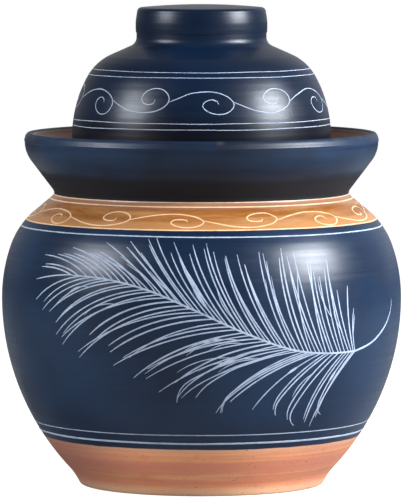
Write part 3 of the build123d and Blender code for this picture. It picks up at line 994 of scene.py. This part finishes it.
side_centre = (LID_RADIUS - LID_SIDE_ARC, LID_STRAIGHT_TOP)
side_end = on_circle(side_centre, LID_SIDE_ARC, LID_SIDE_TURN)
crown_centre = on_circle(side_end, -LID_CROWN_ARC, LID_SIDE_TURN)
crown_end = on_circle(crown_centre, LID_CROWN_ARC, LID_CROWN_TURN)
collar_start_radius = COLLAR_RADIUS + COLLAR_COVE * (1 - math.cos(math.radians(LID_CROWN_TURN)))
collar_rise = (crown_end[0] - collar_start_radius) / math.tan(math.radians(LID_CROWN_TURN))
collar_start = (collar_start_radius, crown_end[1] + collar_rise)
collar_height = collar_start[1] + COLLAR_COVE * math.sin(math.radians(LID_CROWN_TURN))
collar_centre = (COLLAR_RADIUS + COLLAR_COVE, collar_height)
collar_inside = COLLAR_RADIUS - LID_WALL
inner_crown_end = on_circle(crown_centre, LID_CROWN_ARC - LID_WALL, LID_CROWN_TURN)
inner_collar_rise = (inner_crown_end[0] - collar_inside) / math.tan(math.radians(LID_CROWN_TURN))
inner_collar = (collar_inside, inner_crown_end[1] + inner_collar_rise)
rim_centre = (LID_RADIUS - LID_WALL / 2, LID_RIM + LID_WALL / 2)
lid_inside_radius = LID_RADIUS - LID_WALL

lid_outside = thrown(
    join(
        line((LID_RADIUS, rim_centre[1]), (LID_RADIUS, LID_STRAIGHT_TOP)),
        arc(side_centre, LID_SIDE_ARC, 0, LID_SIDE_TURN, 0.0008),
        arc(crown_centre, LID_CROWN_ARC, LID_SIDE_TURN, LID_CROWN_TURN, 0.0008),
        line(crown_end, collar_start),
        arc(collar_centre, COLLAR_COVE, 180 + LID_CROWN_TURN, 180, 0.0006),
        line((COLLAR_RADIUS, collar_height), (COLLAR_RADIUS, GRIP_SEAT)),
    ),
    FINGER_RINGS_OUTSIDE,
    21,
)
lid_inside = thrown(
    join(
        line(inner_collar, inner_crown_end, 0.0015),
        arc(crown_centre, LID_CROWN_ARC - LID_WALL, LID_CROWN_TURN, LID_SIDE_TURN, 0.0015),
        arc(side_centre, LID_SIDE_ARC - LID_WALL, LID_SIDE_TURN, 0, 0.0015),
        line((lid_inside_radius, LID_STRAIGHT_TOP), (lid_inside_radius, rim_centre[1]), 0.002),
    ),
    LID_FINGER_RINGS_INSIDE,
    22,
    ((0.009, 1.0), (0.007, 0.5)),
)
lid_profile = join(
    lid_outside,
    line((COLLAR_RADIUS, GRIP_SEAT), (collar_inside, GRIP_SEAT), 0.002),
    line((collar_inside, GRIP_SEAT), inner_collar, 0.002),
    lid_inside,
    arc(rim_centre, LID_WALL / 2, 180, 360, 0.0008),
)

lid_slip, tree, shader, place, height = new_material("blue_slip_on_the_lid")
slip = slip_colour(tree, place, SLIP_DARK, SLIP_DEEP, 7.0)
# Painted shade: the slip turns darker towards the bottom of the lid, where it sinks into the moat.
slip = blended(tree, between(tree, height, 0.2360, 0.2240, 0.0, 0.8), slip, LID_PAINTED_SHADE)
tree.links.new(slip, shader.inputs["Base Color"])
rough, relief = burnish(tree, place, 7.0)
tree.links.new(rough, shader.inputs["Roughness"])
rough_skin(tree, shader, relief, SKIN_RELIEF, 0.8)
shader.inputs["Specular IOR Level"].default_value = LID_SHINE

lid = turned(lid_profile)
for face in lid.faces:
    centre = face.calc_center_median()
    reach = math.hypot(centre.x, centre.y)
    faces_axis = face.normal.x * centre.x + face.normal.y * centre.y < -1e-6
    if faces_axis and centre.z < GRIP_SEAT:
        if reach < collar_inside + 0.0004 or centre.z < crown_end[1] - 0.002:
            face.material_index = 1
set_down(lid, "lid_bowl", "outer_lid", (lid_slip, brown_glaze), ("lid_dome",))

grip_edge_centre = (GRIP_TOP_RADIUS - GRIP_EDGE, GRIP_SHOULDER - GRIP_EDGE)
grip_outside = []
for i in range(17):
    t = i / 16
    swell = (GRIP_RADIUS - GRIP_FOOT_RADIUS) * math.sin(math.pi * t) - GRIP_TAPER * t
    grip_outside.append((GRIP_FOOT_RADIUS + swell, GRIP_SEAT + t * GRIP_SIDE))
grip_top = []
for i in range(25):
    t = 1 - i / 24
    crown = LID_HEIGHT - (LID_HEIGHT - GRIP_SHOULDER) * t**2
    grip_top.append(((GRIP_TOP_RADIUS - GRIP_EDGE) * t, crown))
grip_skin = join(grip_outside, arc(grip_edge_centre, GRIP_EDGE, 0, 88, 0.0005), grip_top)
grip_profile = join(
    thrown(grip_skin, FINGER_RINGS_OUTSIDE, 31),
    line((0, LID_HEIGHT - LID_WALL), (collar_inside - 0.003, GRIP_SHOULDER - LID_WALL), 0.003),
    line((collar_inside, GRIP_SHOULDER - LID_WALL - 0.003), (collar_inside, GRIP_SEAT), 0.002),
    line((collar_inside, GRIP_SEAT), (GRIP_FOOT_RADIUS, GRIP_SEAT), 0.002),
)
set_down(
    turned(grip_profile), "lid_grip", "outer_lid", (lid_slip,), ("lid_knob",)
)

lid_wall = with_lengths(lid_outside)
lid_drawing = bmesh.new()
for height_at, width in LID_LINES:
    ring_line(lid_drawing, lid_wall, height_at, width, rng, 0.0005)
running_scroll(
    lid_drawing,
    lid_wall,
    LID_SCROLL_HEIGHT,
    LID_SCROLL_COUNT,
    LID_SCROLL_TURN,
    LID_SCROLL_SIZE,
    LID_SCROLL_WIDTH,
    rng,
)
lay_in(lid_drawing, "lid_scratches", "outer_lid", pale_line)

# ======== Studio ========
# A pale floor that runs out of view, in surroundings that shine from behind the crock and are left
# rather dark in front, so that two soft lamps at the sides draw the highlights of the burnished
# slip. Where the camera sees them directly, the floor also glows and the surroundings are white.
CAMERA_DISTANCE = 3.47
CAMERA_HEIGHT = 0.405
CAMERA_TILT = 4.265
CAMERA_LENS = 400
FRAME_HEIGHT = 36
LAMP_DISTANCE = 1.5
LAMP_TINT = (0.88, 0.93, 1.0)
LAMP_TARGET = Vector((0, 0, 0.15))
FLOOR_GREY = (0.30, 0.30, 0.30, 1)
FLOOR_GLOW = 0.91
FLOOR_SIZE = 60
FRONT_LIGHT = 0.215
BACK_LIGHT = 0.60
LEFT_SHARE = 0.45

floor_bm = bmesh.new()
bmesh.ops.create_grid(floor_bm, x_segments=1, y_segments=1, size=FLOOR_SIZE)
bmesh.ops.translate(floor_bm, verts=floor_bm.verts, vec=(0, 0, -0.0002))
floor_mesh = bpy.data.meshes.new("studio_floor")
floor_bm.to_mesh(floor_mesh)
floor_bm.free()
floor = bpy.data.objects.new("studio_floor", floor_mesh)
bpy.context.collection.objects.link(floor)
floor_paint, tree, shader, place, height = new_material("pale_floor")
shader.inputs["Base Color"].default_value = FLOOR_GREY
shader.inputs["Roughness"].default_value = 0.9
seen = add(tree, "LightPath")
shader.inputs["Emission Color"].default_value = (1, 1, 1, 1)
tree.links.new(maths(tree, "MULTIPLY", seen, FLOOR_GLOW), shader.inputs["Emission Strength"])
floor_mesh.materials.append(floor_paint)


def softbox(name, azimuth, elevation, size, power):
    """A soft lamp that looks at the middle of the crock."""
    lamp = bpy.data.lights.new(name, "AREA")
    lamp.shape = "RECTANGLE"
    lamp.size, lamp.size_y = size
    lamp.energy = power
    lamp.color = LAMP_TINT
    holder = bpy.data.objects.new(name, lamp)
    bpy.context.collection.objects.link(holder)
    a, e = math.radians(azimuth), math.radians(elevation)
    spot = Vector((math.sin(a) * math.cos(e), -math.cos(a) * math.cos(e), math.sin(e)))
    holder.location = LAMP_TARGET + spot * LAMP_DISTANCE
    holder.rotation_euler = spot.to_track_quat("Z", "Y").to_euler()


softbox("left_softbox", -67, 26, (0.62, 0.5), 23)
softbox("right_softbox", 70, 26, (0.7, 0.55), 62)

world = bpy.data.worlds.new("dark_front_and_pale_back")
world.use_nodes = True
tree = world.node_tree
background = tree.nodes["Background"]
background.inputs["Color"].default_value = (1, 1, 1, 1)
facing = add(tree, "TexCoord")
rightward = add(tree, "SeparateXYZ", {0: facing})
backward = add(tree, "SeparateXYZ", {0: facing}, output=1)
side = between(tree, rightward, -0.7, 0.5, LEFT_SHARE, 1.0)
behind = maths(
    tree, "MULTIPLY", side, between(tree, backward, 0.25, 0.9, FRONT_LIGHT, BACK_LIGHT)
)
seen = add(tree, "LightPath")
strength = add(tree, "Mix", {0: seen, 2: behind, 3: 1.0}, data_type="FLOAT")
tree.links.new(strength, background.inputs["Strength"])
bpy.context.scene.world = world
bpy.context.scene.view_settings.view_transform = "Standard"

lens = bpy.data.cameras.new("camera")
lens.sensor_fit = "VERTICAL"
lens.sensor_height = FRAME_HEIGHT
lens.lens = CAMERA_LENS
camera = bpy.data.objects.new("camera", lens)
bpy.context.collection.objects.link(camera)
camera.location = (0, -CAMERA_DISTANCE, CAMERA_HEIGHT)
camera.rotation_euler = (math.radians(90 - CAMERA_TILT), 0, 0)
bpy.context.scene.camera = camera
